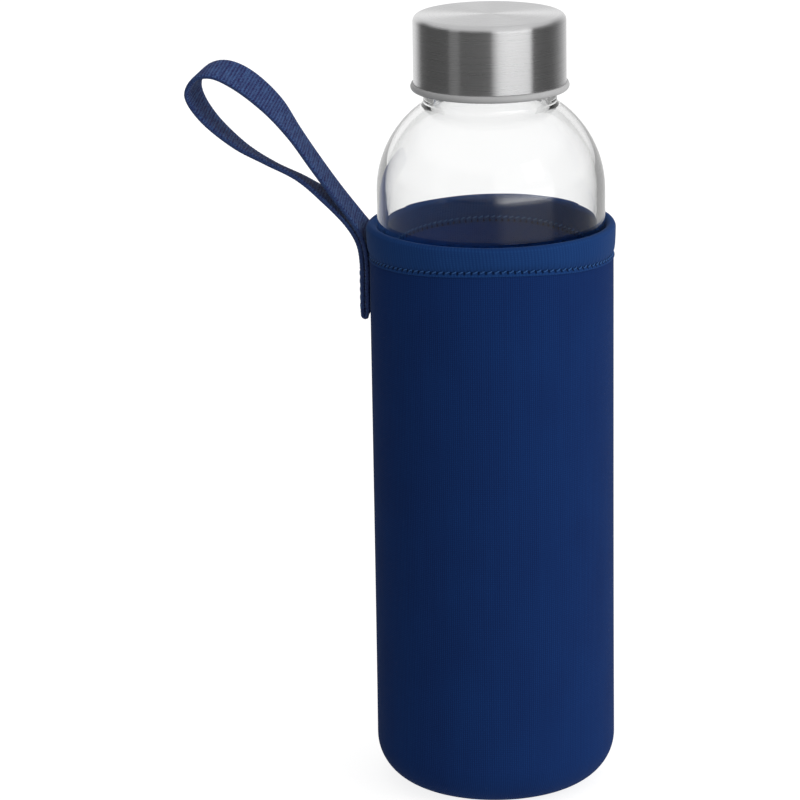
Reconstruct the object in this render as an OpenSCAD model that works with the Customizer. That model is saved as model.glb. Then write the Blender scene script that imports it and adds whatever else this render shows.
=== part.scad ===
// Glass water bottle in a stitched neoprene sleeve, with a steel screw cap and a webbing wrist loop.
// Millimetres. +Z is up. The origin is the centre of the sleeve's underside, and the loop hangs on
// the -X side.

/* [Sleeve] */
// Outer radius of the sleeve wall
sleeve_r = 33.8; // [33:0.1:35]
// Height of the top of the bound hem
sleeve_h = 162; // [150:1:164]
// Radius of the rounded bottom corner
sleeve_corner_r = 12.65; // [11.5:0.05:13]
// Thickness of the knit face of the laminate
knit_t = 0.35; // [0.25:0.05:0.4]
// Thickness of the foam core of the laminate
foam_t = 1.3; // [1:0.1:1.5]
// Thickness of the knit lining
lining_t = 0.3; // [0.2:0.05:0.4]
// Thickness of the knit strip that binds the hem
binding_t = 0.3; // [0.25:0.05:0.35]
// How far the bound hem stands out from the wall
hem_bulge = 0.75; // [0.2:0.05:0.8]
// Height of the hem's topstitching below the rim
hem_stitch_drop = 8; // [6:0.5:9]
// Radius of the seam around the base disc
base_seam_r = 18.4; // [16:0.1:18.6]

/* [Bottle] */
// Thickness of the glass wall
glass_wall = 2.2; // [1.6:0.1:2.6]
// Thickness of the glass at the middle of the base
glass_base = 4.6; // [3.5:0.1:6]
// Height at which the straight wall turns into the shoulder dome
shoulder_z = 171; // [168:0.1:173]
// Radius of the shoulder dome's arc
dome_r = 29.3; // [27:0.1:31.2]
// Outer radius of the neck under the cap
neck_r = 18.4; // [18:0.1:18.6]
// Radius of the bore through the neck
bore_r = 15.7; // [15:0.1:16]
// Height of the glass lip
lip_z = 216.4; // [216:0.1:217]

/* [Cap] */
// Outer radius of the steel shell
cap_r = 21.05; // [21:0.05:21.3]
// Height of the top of the cap
cap_top_z = 220; // [219.5:0.1:221]
// Height of the shell's lower edge
cap_bottom_z = 201.1; // [200.8:0.1:203]
// Wall thickness of the steel shell
cap_wall = 0.5; // [0.4:0.05:0.6]
// Radius of the shell's rounded top edge
cap_edge_r = 1.85; // [1:0.05:2.5]
// Outer radius of the insert's flange
flange_r = 21.85; // [21.5:0.05:22]
// Thickness of the insert's flange
flange_t = 2; // [1:0.1:2]

/* [Screw thread] */
// Rise of the thread in one turn
thread_pitch = 4; // [3.5:0.1:4.2]
// Number of turns of each thread
thread_turns = 1.4; // [1:0.1:1.6]
// Height of the glass thread's ridge
thread_h = 0.9; // [0.8:0.05:1]

/* [Strap] */
// Width of the webbing
strap_w = 20; // [15:1:22]
// Thickness of the webbing
strap_t = 1.3; // [1.2:0.1:1.4]
// Height of the top of the sewn part
anchor_top_z = 151; // [150.5:0.1:151]
// Length of the sewn part
anchor_len = 16.5; // [14:0.5:20]

/* [Stitching] */
// Thickness of the sewing thread
thread_d = 0.4; // [0.3:0.05:0.5]
// Length of one stitch of the side seam
stitch_len = 2.2; // [1.8:0.1:2.4]
// Number of stitches around the hem
hem_stitches = 108; // [90:1:130]
// Number of stitches around the base seam
base_stitches = 44; // [30:1:50]

/* [Hidden] */
$fn = 96;
arc_steps = 10;
wall_t = knit_t + foam_t + lining_t;
corner_r_pos = sleeve_r - sleeve_corner_r;
fit_gap = 0.3;
seam_depth = 0.45;
seam_half_w = 0.9;
seam_gap = 0.15;
hem_stitch_z = sleeve_h - hem_stitch_drop;
hem_w = 2.75;
hem_r = sleeve_r + hem_bulge - hem_w / 2;
hem_centre_z = sleeve_h - hem_w / 2;
groove_depth = 0.3;
binding_edge_z = hem_stitch_z - 1.1;
hem_stitch_len = 1.5;
glass_r = sleeve_r - wall_t - fit_gap;
glass_bottom_z = wall_t + fit_gap;
heel_r = sleeve_corner_r - wall_t - fit_gap;
punt_rise = 2.4;
dome_centre_r = glass_r - dome_r;
neck_fillet_r = 1.8;
bore_fillet_r = 3;
lip_edge_r = 1;
flange_edge_r = 0.9;
seal_t = 1.5;
seal_gap = 0.06;
insert_r = cap_r - cap_wall;
insert_root_r = neck_r + thread_h + fit_gap;
insert_top_z = lip_z + seal_t + 2 * seal_gap;
thread_bottom_z = 204.6;
ridge_foot = 1.9;
ridge_crest = 0.9;
ridge_bite = 0.3;
thread_steps = 48;
run_out = 0.12;
anchor_bottom_z = anchor_top_z - anchor_len;
anchor_r = sleeve_r + 0.05;
spline_steps = 5;
// The strap's route: distance out from the bottle's axis, and height
strap_route = [
    [34.9, 151.3], [35.7, 155.5], [38.6, 161], [44.2, 168.6], [50.2, 176.7], [55.9, 184.7],
    [62.1, 192.5], [70, 199], [77, 202], [82.5, 200.7], [84.9, 195.5], [80.6, 188.2],
    [71.9, 180.7], [63.1, 175.9], [54, 171.8], [45.8, 166.1], [40.6, 160.2], [37.7, 155.1],
    [36.4, 151.3]
];

// Points along an arc about (cx, cy), from angle a0 to angle a1
function arc(cx, cy, r, a0, a1, steps = arc_steps) =
    [for (i = [0:steps]) let (a = a0 + (a1 - a0) * i / steps) [cx + r * cos(a), cy + r * sin(a)]];

function reversed(path) = [for (i = [len(path) - 1:-1:0]) path[i]];

function unit(v) = v / norm(v);

// Left-hand normal of a path at point i, averaged over its two sides
function normal_at(path, i) =
    let (
        a = unit(path[min(i + 1, len(path) - 1)] - path[min(i, len(path) - 2)]),
        b = unit(path[max(i, 1)] - path[max(i - 1, 0)]),
        t = unit(a + b)
    ) [-t[1], t[0]] / (t * a);

// The same path moved to its left by d
function inset(path, d) = [for (i = [0:len(path) - 1]) path[i] + d * normal_at(path, i)];

// The closed outline between two depths of one path
function layer(path, d0, d1) = concat(inset(path, d0), reversed(inset(path, d1)));

// Catmull-Rom point between p[i] and p[i+1]
function spline_point(p, i, t) =
    let (
        n = len(p) - 1,
        a = i == 0 ? 2 * p[0] - p[1] : p[i - 1],
        b = p[i],
        c = p[i + 1],
        d = i + 1 == n ? 2 * p[n] - p[n - 1] : p[i + 2]
    ) b + 0.5 * t * ((c - a) + t * ((2 * a - 5 * b + 4 * c - d) + t * (3 * b - 3 * c + d - a)));

function spline(p, steps) = concat(
    [for (i = [0:len(p) - 2]) for (k = [0:steps - 1]) spline_point(p, i, k / steps)],
    [p[len(p) - 1]]
);

// The sleeve's outer line from the base seam, round the corner and up the wall to z_end
function wall_path(z_end) = concat(
    [[base_seam_r, seam_depth], [base_seam_r + seam_half_w, 0]],
    arc(corner_r_pos, sleeve_corner_r, sleeve_corner_r, 270, 360),
    [[sleeve_r, z_end]]
);

// The hem's outer line from the binding's lower edge, through the stitched groove, to the roll
function hem_side() = [
    [sleeve_r + 0.05, binding_edge_z],
    [sleeve_r - 0.15, hem_stitch_z - 0.5],
    [sleeve_r - groove_depth, hem_stitch_z],
    [sleeve_r - 0.1, hem_stitch_z + 0.7],
    [sleeve_r + 0.7 * hem_bulge, hem_stitch_z + 2.4]
];

// The binding's outer line: up outside, over the rim, and down inside
function binding_path() = concat(
    hem_side(),
    arc(hem_r, hem_centre_z, hem_w / 2, 0, 180, 12),
    [[hem_r - hem_w / 2, hem_stitch_z - 0.8]]
);

// The laminate's whole skin: up outside, over its rounded edge under the binding, and down inside
function skin_path() = concat(
    wall_path(binding_edge_z - 0.6),
    inset(binding_path(), binding_t),
    reversed(inset(wall_path(binding_edge_z - 0.8), wall_t))
);

// The point of the skin at the middle of the rim
function rim_point() = len(wall_path(0)) + len(hem_side()) + 6;

function outer_part(path) = [for (i = [0:rim_point()]) path[i]];

function inner_part(path) = [for (i = [rim_point():len(path) - 1]) path[i]];

// The base disc's outer line, from its centre out to the seam
function base_path() =
    let (edge_r = base_seam_r - seam_gap)
    [[0, 0], [edge_r - seam_half_w, 0], [edge_r, seam_depth]];

// One helical ridge on a wall of radius r. It stands out by h, or in where h is negative.
module thread_ridge(r, h, z) {
    last = round(thread_turns * thread_steps);
    foot_r = r - sign(h) * ridge_bite;
    rings = [
        for (i = [0:last])
            let (
                turn = i / thread_steps,
                fade = min(1, turn / run_out, (thread_turns - turn) / run_out),
                crest_r = foot_r + (h + sign(h) * ridge_bite) * max(fade, 0.05),
                c = z + turn * thread_pitch,
                d = [cos(360 * turn), sin(360 * turn)]
            )
            [
                [foot_r * d[0], foot_r * d[1], c - ridge_foot / 2],
                [crest_r * d[0], crest_r * d[1], c - ridge_crest / 2],
                [crest_r * d[0], crest_r * d[1], c + ridge_crest / 2],
                [foot_r * d[0], foot_r * d[1], c + ridge_foot / 2]
            ]
    ];
    sides = [
        for (i = [0:last - 1])
            for (k = [0:3])
                let (a = 4 * i + k, b = 4 * i + (k + 1) % 4)
                for (tri = [[a, a + 4, b + 4], [a, b + 4, b]]) h < 0 ? tri : reversed(tri)
    ];
    first_cap = [0, 1, 2, 3];
    last_cap = [4 * last + 3, 4 * last + 2, 4 * last + 1, 4 * last];
    ends = [for (face = [first_cap, last_cap]) h < 0 ? face : reversed(face)];
    points = [for (ring = rings) for (p = ring) p];
    polyhedron(points, concat(sides, ends), convexity = 6);
}

// A stitch lying along X
module stitch(length) {
    translate([-length / 2, 0, 0])
        rotate([0, 90, 0])
            cylinder(h = length, d = thread_d, $fn = 8);
}

// Places its child on a sleeve wall of radius r, at an angle about Z and a height, lying along Z
module on_wall(r, angle, z, slant = 0) {
    rotate([0, 0, angle])
        translate([r, 0, z])
            rotate([slant, 0, 0])
                rotate([0, 90, 0])
                    children();
}

module sleeve_outer_knit() {
    color([0.06, 0.16, 0.34])
        rotate_extrude()
            polygon(concat(outer_part(skin_path()), reversed(outer_part(inset(skin_path(), knit_t)))));
}

module sleeve_foam() {
    outline = concat(outer_part(inset(skin_path(), knit_t)), inner_part(inset(skin_path(), lining_t)));
    color([0.05, 0.07, 0.12])
        rotate_extrude()
            polygon(outline);
}

module sleeve_lining() {
    color([0.05, 0.1, 0.22])
        rotate_extrude()
            polygon(concat(inner_part(skin_path()), reversed(inner_part(inset(skin_path(), lining_t)))));
}

// One layer of the base disc, between two depths
module base_layer(d0, d1) {
    rotate_extrude()
        polygon(layer(base_path(), d0, d1));
}

module base_outer_knit() {
    color([0.06, 0.16, 0.34])
        base_layer(0, knit_t);
}

module base_foam() {
    color([0.05, 0.07, 0.12])
        base_layer(knit_t, knit_t + foam_t);
}

module base_lining() {
    color([0.05, 0.1, 0.22])
        base_layer(knit_t + foam_t, wall_t);
}

// The knit strip folded over the laminate's edge
module hem_binding() {
    color([0.08, 0.19, 0.38])
        rotate_extrude()
            polygon(layer(binding_path(), 0, binding_t));
}

module hem_stitching() {
    slant = 62;
    color([0.04, 0.1, 0.24])
        for (i = [0:hem_stitches - 1])
            on_wall(sleeve_r - groove_depth + thread_d / 2, 360 * i / hem_stitches, hem_stitch_z, slant)
                stitch(hem_stitch_len);
}

// Two rows of stitches up the side of the sleeve, behind the strap
module side_seam_stitching() {
    pitch = stitch_len * 1.3;
    first_z = sleeve_corner_r + 1;
    count = floor((hem_stitch_z - 2.5 - first_z) / pitch);
    color([0.04, 0.1, 0.24])
        for (side = [-1, 1])
            for (i = [0:count - 1])
                on_wall(sleeve_r + thread_d / 4, 180 + 3 * side, first_z + (i + 0.5) * pitch)
                    stitch(stitch_len);
}

module base_seam_stitching() {
    color([0.04, 0.1, 0.24])
        for (i = [0:base_stitches - 1])
            rotate([0, 0, 360 * i / base_stitches])
                translate([base_seam_r - seam_gap / 2, 0, seam_depth - thread_d / 4])
                    stitch(1.2);
}

// The strap's two plies where they are sewn down around the sleeve's curve, joined by a fold
module strap_anchor() {
    fold_r = strap_t;
    outline = concat(
        [[anchor_r + 2 * fold_r, anchor_top_z], [anchor_r, anchor_top_z]],
        arc(anchor_r + fold_r, anchor_bottom_z + fold_r, fold_r, 180, 360)
    );
    color([0.16, 0.2, 0.42])
        intersection() {
            rotate_extrude()
                polygon(outline);
            translate([-sleeve_r - 10, -strap_w / 2, anchor_bottom_z - 5])
                cube([20, strap_w, anchor_len + 10]);
        }
}

// A box of stitches around the sewn part
module strap_stitching() {
    r = anchor_r + 2 * strap_t + thread_d / 4;
    margin = 2.4;
    half_angle = asin((strap_w / 2 - margin) / r);
    rows = 5;
    columns = 6;
    row_pitch = (anchor_len - 2 * margin) / rows;
    color([0.1, 0.13, 0.3]) {
        for (side = [-1, 1])
            for (i = [0:rows - 1])
                on_wall(r, 180 + side * half_angle, anchor_bottom_z + margin + (i + 0.5) * row_pitch)
                    stitch(row_pitch * 0.75);
        for (z = [anchor_bottom_z + margin, anchor_top_z - margin])
            for (i = [0:columns - 1])
                on_wall(r, 180 + half_angle * (2 * (i + 0.5) / columns - 1), z, 90)
                    stitch(row_pitch * 0.75);
    }
}

module strap_loop() {
    path = spline(strap_route, spline_steps);
    outline = layer(path, -strap_t / 2, strap_t / 2);
    color([0.16, 0.2, 0.42])
        translate([0, strap_w / 2, 0])
            rotate([90, 0, 0])
                linear_extrude(strap_w)
                    polygon([for (p = outline) [-p[0], p[1]]]);
}

// Where the dome's arc, of radius r, meets a fillet that ends at the neck's radius
function fillet_centre(r, neck, fillet) =
    [neck + fillet, shoulder_z + sqrt(pow(r + fillet, 2) - pow(neck + fillet - dome_centre_r, 2))];

function dome_angle(r, neck, fillet) =
    let (c = fillet_centre(r, neck, fillet)) atan2(c[1] - shoulder_z, c[0] - dome_centre_r);

// Shoulder from the straight wall up to the neck, at dome radius r
function shoulder(r, neck, fillet) =
    let (c = fillet_centre(r, neck, fillet), a = dome_angle(r, neck, fillet))
    concat(
        arc(dome_centre_r, shoulder_z, r, 0, a, 16),
        arc(c[0], c[1], fillet, 180 + a, 180, 6)
    );

function glass_outline() =
    let (
        in_r = glass_r - glass_wall,
        in_heel = heel_r - glass_wall,
        floor_z = glass_bottom_z + punt_rise + glass_base,
        heel_z = sleeve_corner_r,
        ring_r = corner_r_pos - 2.5
    )
    concat(
        [[0, glass_bottom_z + punt_rise], [ring_r * 0.5, glass_bottom_z + punt_rise * 0.78]],
        [[ring_r * 0.8, glass_bottom_z + punt_rise * 0.4], [ring_r, glass_bottom_z]],
        arc(corner_r_pos, heel_z, heel_r, 270, 360),
        shoulder(dome_r, neck_r, neck_fillet_r),
        arc(neck_r - lip_edge_r, lip_z - lip_edge_r, lip_edge_r, 0, 90, 5),
        arc(bore_r + lip_edge_r, lip_z - lip_edge_r, lip_edge_r, 90, 180, 5),
        reversed(shoulder(dome_r - glass_wall, bore_r, bore_fillet_r)),
        arc(in_r - in_heel, floor_z - 0.5 + in_heel, in_heel, 0, -80),
        [[in_r * 0.4, floor_z - 0.2], [0, floor_z]]
    );

module bottle_glass() {
    color([0.85, 0.92, 0.92, 0.4]) {
        rotate_extrude()
            polygon(glass_outline());
        thread_ridge(neck_r, thread_h, thread_bottom_z);
    }
}

module cap_seal() {
    color([0.85, 0.85, 0.84])
        translate([0, 0, lip_z + seal_gap])
            difference() {
                cylinder(h = seal_t, r = neck_r + 0.6);
                translate([0, 0, -1])
                    cylinder(h = 1.7, r = bore_r - 1.5);
            }
}

// The plastic insert: the threaded lining of the cap, with the flange that shows below the shell
module cap_insert() {
    flange_z = cap_bottom_z - flange_t;
    roof_z = cap_top_z - cap_wall;
    color([0.72, 0.72, 0.72]) {
        rotate_extrude()
            polygon(concat(
                [[insert_root_r, flange_z]],
                arc(flange_r - flange_edge_r, flange_z + flange_edge_r, flange_edge_r, 270, 360, 6),
                [[flange_r, cap_bottom_z - 0.2], [flange_r - 0.2, cap_bottom_z]],
                [[insert_r, cap_bottom_z]],
                arc(insert_r - cap_edge_r, roof_z - cap_edge_r, cap_edge_r, 0, 90, 6),
                [[0, roof_z], [0, insert_top_z], [insert_root_r, insert_top_z]]
            ));
        thread_ridge(insert_root_r, -thread_h, thread_bottom_z - thread_pitch / 2);
    }
}

module cap_shell() {
    color([0.75, 0.75, 0.76])
        rotate_extrude()
            polygon(concat(
                [[insert_r, cap_bottom_z], [cap_r, cap_bottom_z]],
                arc(cap_r - cap_edge_r, cap_top_z - cap_edge_r, cap_edge_r, 0, 90, 8),
                [[0, cap_top_z], [0, cap_top_z - cap_wall]],
                arc(insert_r - cap_edge_r, cap_top_z - cap_wall - cap_edge_r, cap_edge_r, 90, 0, 6)
            ));
}

sleeve_outer_knit();
sleeve_foam();
sleeve_lining();
base_outer_knit();
base_foam();
base_lining();
hem_binding();
hem_stitching();
side_seam_stitching();
base_seam_stitching();
strap_anchor();
strap_stitching();
strap_loop();
bottle_glass();
cap_seal();
cap_insert();
cap_shell();
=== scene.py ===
"""Looks of the glass water bottle: a clear bottle with a brushed steel cap, in a stitched neoprene sleeve.

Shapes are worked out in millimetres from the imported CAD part, and built in metres in its frame.
"""
import math

import bmesh
import bpy
import numpy as np
from mathutils import Matrix, Vector


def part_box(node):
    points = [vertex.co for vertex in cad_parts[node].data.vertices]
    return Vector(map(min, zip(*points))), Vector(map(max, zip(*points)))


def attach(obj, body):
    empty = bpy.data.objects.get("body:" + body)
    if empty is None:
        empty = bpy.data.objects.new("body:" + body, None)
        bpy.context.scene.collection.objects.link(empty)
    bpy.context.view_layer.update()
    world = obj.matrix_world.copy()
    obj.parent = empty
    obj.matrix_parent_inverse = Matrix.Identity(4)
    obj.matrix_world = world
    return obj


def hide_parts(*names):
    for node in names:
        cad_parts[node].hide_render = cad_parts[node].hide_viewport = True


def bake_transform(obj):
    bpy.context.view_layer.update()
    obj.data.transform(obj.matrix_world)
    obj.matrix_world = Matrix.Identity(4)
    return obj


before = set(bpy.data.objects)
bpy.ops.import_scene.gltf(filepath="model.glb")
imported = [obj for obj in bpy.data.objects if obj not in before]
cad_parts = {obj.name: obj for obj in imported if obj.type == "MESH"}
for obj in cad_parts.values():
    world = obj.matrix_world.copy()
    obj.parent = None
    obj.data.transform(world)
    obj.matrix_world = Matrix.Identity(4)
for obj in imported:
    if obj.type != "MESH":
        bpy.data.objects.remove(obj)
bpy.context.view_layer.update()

MM = 0.001


def mm_box(node):
    """Lowest and highest corner of a CAD node, in millimetres."""
    low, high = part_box(node)
    return np.array(low) / MM, np.array(high) / MM


# ---------------------------------------------------------------- sizes, in millimetres

binding_high = mm_box("hem_binding")[1]
glass_low, glass_high = mm_box("bottle_glass")
shell_low, shell_high = mm_box("cap_shell")
insert_low, insert_high = mm_box("cap_insert")
seal_low, seal_high = mm_box("cap_seal")
anchor_low, anchor_high = mm_box("strap_anchor")

RIM_Z = binding_high[2]
HEM_BULGE = 0.75
HEM_W = 2.75
SLEEVE_R = binding_high[0] - HEM_BULGE
HEM_R = SLEEVE_R + HEM_BULGE - HEM_W / 2
KNIT_T, FOAM_T, LINING_T, BINDING_T = 0.35, 1.3, 0.3, 0.3
WALL_T = KNIT_T + FOAM_T + LINING_T
CORNER_R = 12.65
CORNER_POS = SLEEVE_R - CORNER_R
STITCH_Z = RIM_Z - 8
BINDING_Z = STITCH_Z - 1.1
HEM_STITCHES, HEM_STITCH_LEN, HEM_SLANT = 108, 1.6, math.radians(24)
STITCH_SWING, STITCH_RIPPLE = 1.2, 0.12  # how far the topstitching wanders up and down
GROOVE = 0.3
SEAM_R, SEAM_DEPTH, SEAM_HALF_W, SEAM_GAP = 18.4, 0.45, 0.9, 0.15
BASE_STITCHES = 44
SIDE_STITCH_LEN, SIDE_STITCH_PITCH, SIDE_ROW_TURN = 2.2, 2.86, math.radians(3)

GLASS_R, GLASS_BOTTOM, LIP_Z = glass_high[0], glass_low[2], glass_high[2]
GLASS_WALL = 2.2
HEEL_R = CORNER_R - GLASS_BOTTOM
SHOULDER_Z = 171
DOME_R = 29.3
DOME_POS = GLASS_R - DOME_R
NECK_R, BORE_R = 18.4, 15.7
NECK_FILLET, BORE_FILLET, LIP_EDGE = 1.8, 3.0, 1.0
PUNT_RISE, GLASS_BASE = 2.4, 4.6

CAP_R, CAP_TOP, CAP_BOTTOM = shell_high[0], shell_high[2], shell_low[2]
CAP_WALL, CAP_EDGE_R = 0.5, 1.85
FLANGE_R, FLANGE_Z = insert_high[0], insert_low[2]
THREAD_PITCH, THREAD_TURNS, THREAD_H, THREAD_Z = 4.0, 1.4, 0.9, 204.6
THREAD_STEP = 0.22  # height between the points of a threaded wall
INSERT_ROOT_R = NECK_R + THREAD_H + 0.3

STRAP_W = anchor_high[1] - anchor_low[1]
STRAP_T = 1.38  # the CAD part's 1.3 and the ribs
STRAP_COLUMNS = 22
RIB_PITCH, RIB_H = 0.95, 0.05
ANCHOR_TOP, ANCHOR_BOTTOM = anchor_high[2], anchor_low[2]
ANCHOR_R = SLEEVE_R + 0.05
# The strap's route, repeated from the CAD part: distance out from the axis, and height
STRAP_ROUTE = [
    (35.7, 155.5), (38.6, 161), (44.2, 168.6), (50.2, 176.7), (55.9, 184.7),
    (62.1, 192.5), (70, 199), (77, 202), (82.5, 200.7), (84.9, 195.5), (80.6, 188.2),
    (71.9, 180.7), (63.1, 175.9), (54, 171.8), (45.8, 166.1), (40.6, 160.2), (37.7, 155.1),
]
# How far the webbing turns about its own line at each point of the route, in degrees
STRAP_TWIST = [4, 8, 9, 9, 8, 2, -1.5, -2, -3, -5, -8, -12, -15, -14, -9, -10, -8]

FRONT = math.radians(-76)  # direction of the camera about Z, as an angle from +X


# ---------------------------------------------------------------- outlines

def arc(centre, radius, start, end, steps):
    """Points of an arc from one angle to another, in degrees."""
    angles = np.radians(np.linspace(start, end, steps + 1))
    return [(centre[0] + radius * math.cos(a), centre[1] + radius * math.sin(a)) for a in angles]


def subdivide(path, step):
    """The same path with no stretch longer than step."""
    points = [path[0]]
    for a, b in zip(path, path[1:]):
        parts = max(1, math.ceil(math.dist(a, b) / step))
        for k in range(1, parts + 1):
            points.append((a[0] + (b[0] - a[0]) * k / parts, a[1] + (b[1] - a[1]) * k / parts))
    return points


def inset(path, depth):
    """The same path moved to its left by depth."""
    p = np.array(path, float)
    ahead = np.diff(p, axis=0)
    ahead /= np.linalg.norm(ahead, axis=1)[:, None]
    before = np.vstack([ahead[:1], ahead])
    after = np.vstack([ahead, ahead[-1:]])
    middle = before + after
    middle /= np.linalg.norm(middle, axis=1)[:, None]
    normal = np.stack([-middle[:, 1], middle[:, 0]], 1) / (middle * after).sum(1)[:, None]
    return [tuple(q) for q in p + depth * normal]


def layer(path, outer, inner):
    """Closed outline of the layer between two depths under a path."""
    return inset(path, outer) + inset(path, inner)[::-1]


def smoothstep(low, high, x):
    t = np.clip((x - low) / (high - low), 0, 1)
    return t * t * (3 - 2 * t)


# ---------------------------------------------------------------- meshes

# Points round each kind of piece
SEGMENTS, HIDDEN_SEGMENTS, BASE_SEGMENTS, SMOOTH_SEGMENTS, SEAL_SEGMENTS = 540, 264, 176, 256, 128


def finish_mesh(obj, sharp_angle):
    """Joins doubled points, turns the faces outward and shades all but the sharp edges smooth."""
    bm = bmesh.new()
    bm.from_mesh(obj.data)
    bmesh.ops.remove_doubles(bm, verts=bm.verts, dist=1e-7)
    bmesh.ops.recalc_face_normals(bm, faces=bm.faces)
    bm.to_mesh(obj.data)
    bm.free()
    obj.data.shade_smooth()
    obj.data.set_sharp_from_angle(angle=math.radians(sharp_angle))
    return obj


def new_object(name, points, faces, sharp_angle=40):
    mesh = bpy.data.meshes.new(name)
    mesh.from_pydata((np.asarray(points) * MM).tolist(), [], faces)
    obj = bpy.data.objects.new(name, mesh)
    bpy.context.scene.collection.objects.link(obj)
    return finish_mesh(obj, sharp_angle)


def grid_faces(rows, columns, close_rows, close_columns):
    """Quads over a grid of points, joined up round either way."""
    i = np.arange(rows if close_rows else rows - 1)
    j = np.arange(columns if close_columns else columns - 1)
    i, j = (g.ravel() for g in np.meshgrid(i, j, indexing="ij"))
    i2, j2 = (i + 1) % rows, (j + 1) % columns
    return np.stack([i * columns + j, i2 * columns + j, i2 * columns + j2, i * columns + j2], 1).tolist()


def revolve(name, outline, segments, shape=None, closed=True, sharp_angle=40):
    """A closed outline of (radius, height) turned about Z. shape(angle, r, z) may move its points."""
    r, z = np.array(outline, float).T
    angle = np.linspace(0, 2 * math.pi, segments, endpoint=False)
    angle, r = np.meshgrid(angle, r)
    z = np.repeat(z[:, None], segments, axis=1)
    if shape:
        r, z = shape(angle, r, z)
    points = np.stack([r * np.cos(angle), r * np.sin(angle), z], -1).reshape(-1, 3)
    return new_object(name, points, grid_faces(len(outline), segments, closed, True), sharp_angle)


def sew(name, stitches, length, thread_r, arch):
    """Stitches of two-ply thread. Each is (middle, direction along, direction out of the cloth)."""
    rings, sides = 9, 10
    twist = 1.6
    t = np.linspace(-1, 1, rings)[:, None]
    a = np.linspace(0, 2 * math.pi, sides, endpoint=False)[None, :]
    ply = 1 + 0.16 * np.cos(2 * (a - twist * math.pi * t))
    taper = np.sqrt(np.clip(1 - np.abs(t) ** 6, 0.02, 1))
    radius = thread_r * ply * taper
    points, faces = [], []
    body = np.array(grid_faces(rings, sides, False, True))
    first = list(range(sides))
    last = [(rings - 1) * sides + k for k in range(sides)]
    for middle, along, out in stitches:
        along, out = np.array(along, float), np.array(out, float)
        side = np.cross(along, out)
        line = np.array(middle) + t * along * length / 2 + arch * (1 - 1.6 * t ** 2) * out
        round_line = np.cos(a)[..., None] * out + np.sin(a)[..., None] * side
        ring = line[:, None, :] + radius[..., None] * round_line
        offset = len(points) * rings * sides
        points.append(ring.reshape(-1, 3))
        faces += (body + offset).tolist()
        faces += [[offset + k for k in first], [offset + k for k in reversed(last)]]
    return new_object(name, np.vstack(points), faces, 60)


UP = np.array([0, 0, 1.0])


def around(angle):
    """Radial and tangential directions at an angle about Z."""
    c, s = math.cos(angle), math.sin(angle)
    return np.array([c, s, 0]), np.array([-s, c, 0])


# ---------------------------------------------------------------- material nodes

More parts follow.
